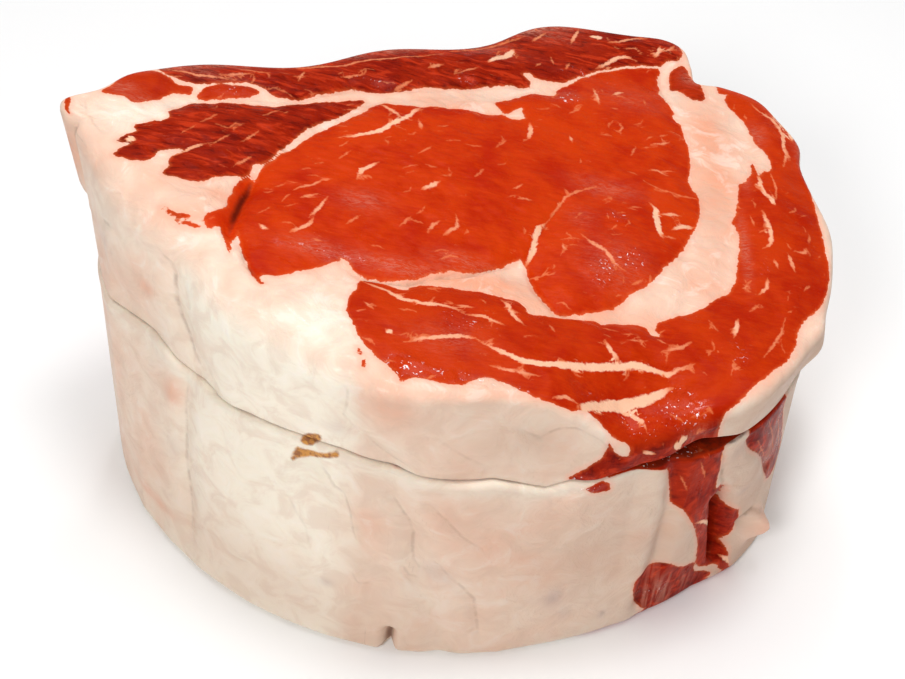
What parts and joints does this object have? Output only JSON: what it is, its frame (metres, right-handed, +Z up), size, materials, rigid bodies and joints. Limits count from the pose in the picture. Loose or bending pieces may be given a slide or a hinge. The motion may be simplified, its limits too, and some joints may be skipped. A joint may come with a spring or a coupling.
{
  "type": "boneless ribeye roast cut into two stacked steaks",
  "caption": "Raw boneless ribeye roast with its fat cap, sliced through into two thick steaks that stay stacked as cut.",
  "frame": {"origin": "centre of the bounding box on the flat base that the meat rests on", "axes": "+X to the right along the longest side of the cut face, +Y to the back, +Z up out of the marbled face"},
  "size_m": [0.2035, 0.1742, 0.107],
  "materials": {
    "upper_meat": "wet red muscle with marbling, pale fat cap, glossy",
    "lower_meat": "pale creased fat cap with red meat showing at the right, satin to glossy"
  },
  "bodies": {
    "root": {"lower_steak": "lower_meat", "upper_steak": "upper_meat"}
  },
  "joints": []
}
